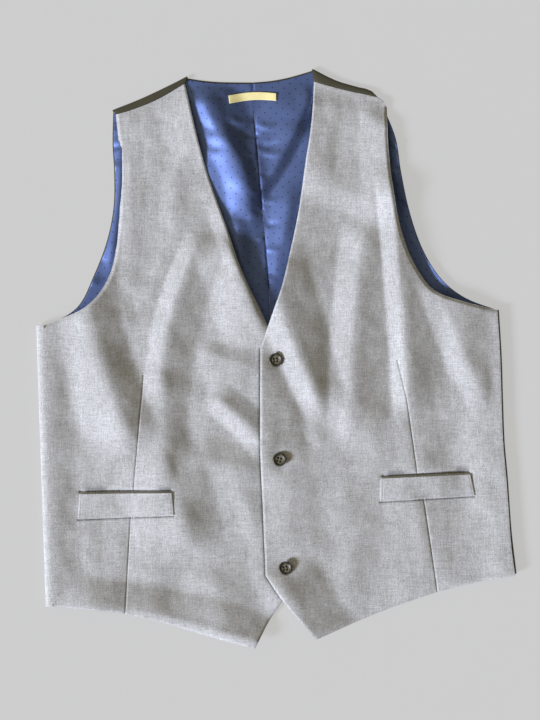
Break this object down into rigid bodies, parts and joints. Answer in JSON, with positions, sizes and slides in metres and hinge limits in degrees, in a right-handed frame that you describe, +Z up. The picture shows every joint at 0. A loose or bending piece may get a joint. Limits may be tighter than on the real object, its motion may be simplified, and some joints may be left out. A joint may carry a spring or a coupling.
{
  "type": "suit waistcoat",
  "caption": "Suit waistcoat laid flat, front up and buttoned, with grey worsted fronts, welt pockets, a V neck, a dark satin back and a blue satin lining.",
  "frame": {"origin": "centre of the box round the laid waistcoat, on the surface it lies on", "axes": "+Z up from the surface towards the front of the waistcoat, +Y towards its neck, +X towards the wearer's left"},
  "size_m": [0.5276, 0.6359, 0.0157],
  "materials": {
    "worsted": "light grey heathered worsted wool, matte",
    "back_satin": "dark olive satin, soft sheen",
    "lining_satin": "blue satin with small dark dots, soft sheen",
    "horn": "dark brown polished button",
    "tape": "cream woven tape, matte"
  },
  "bodies": {
    "root": {"front_right": "worsted", "front_left": "worsted", "welt_right": "worsted", "welt_left": "worsted", "back_right": "back_satin", "back_left": "back_satin", "back_lining_right": "lining_satin", "back_lining_left": "lining_satin", "button_top": "horn", "button_middle": "horn", "button_bottom": "horn", "neck_label": "tape"}
  },
  "joints": []
}
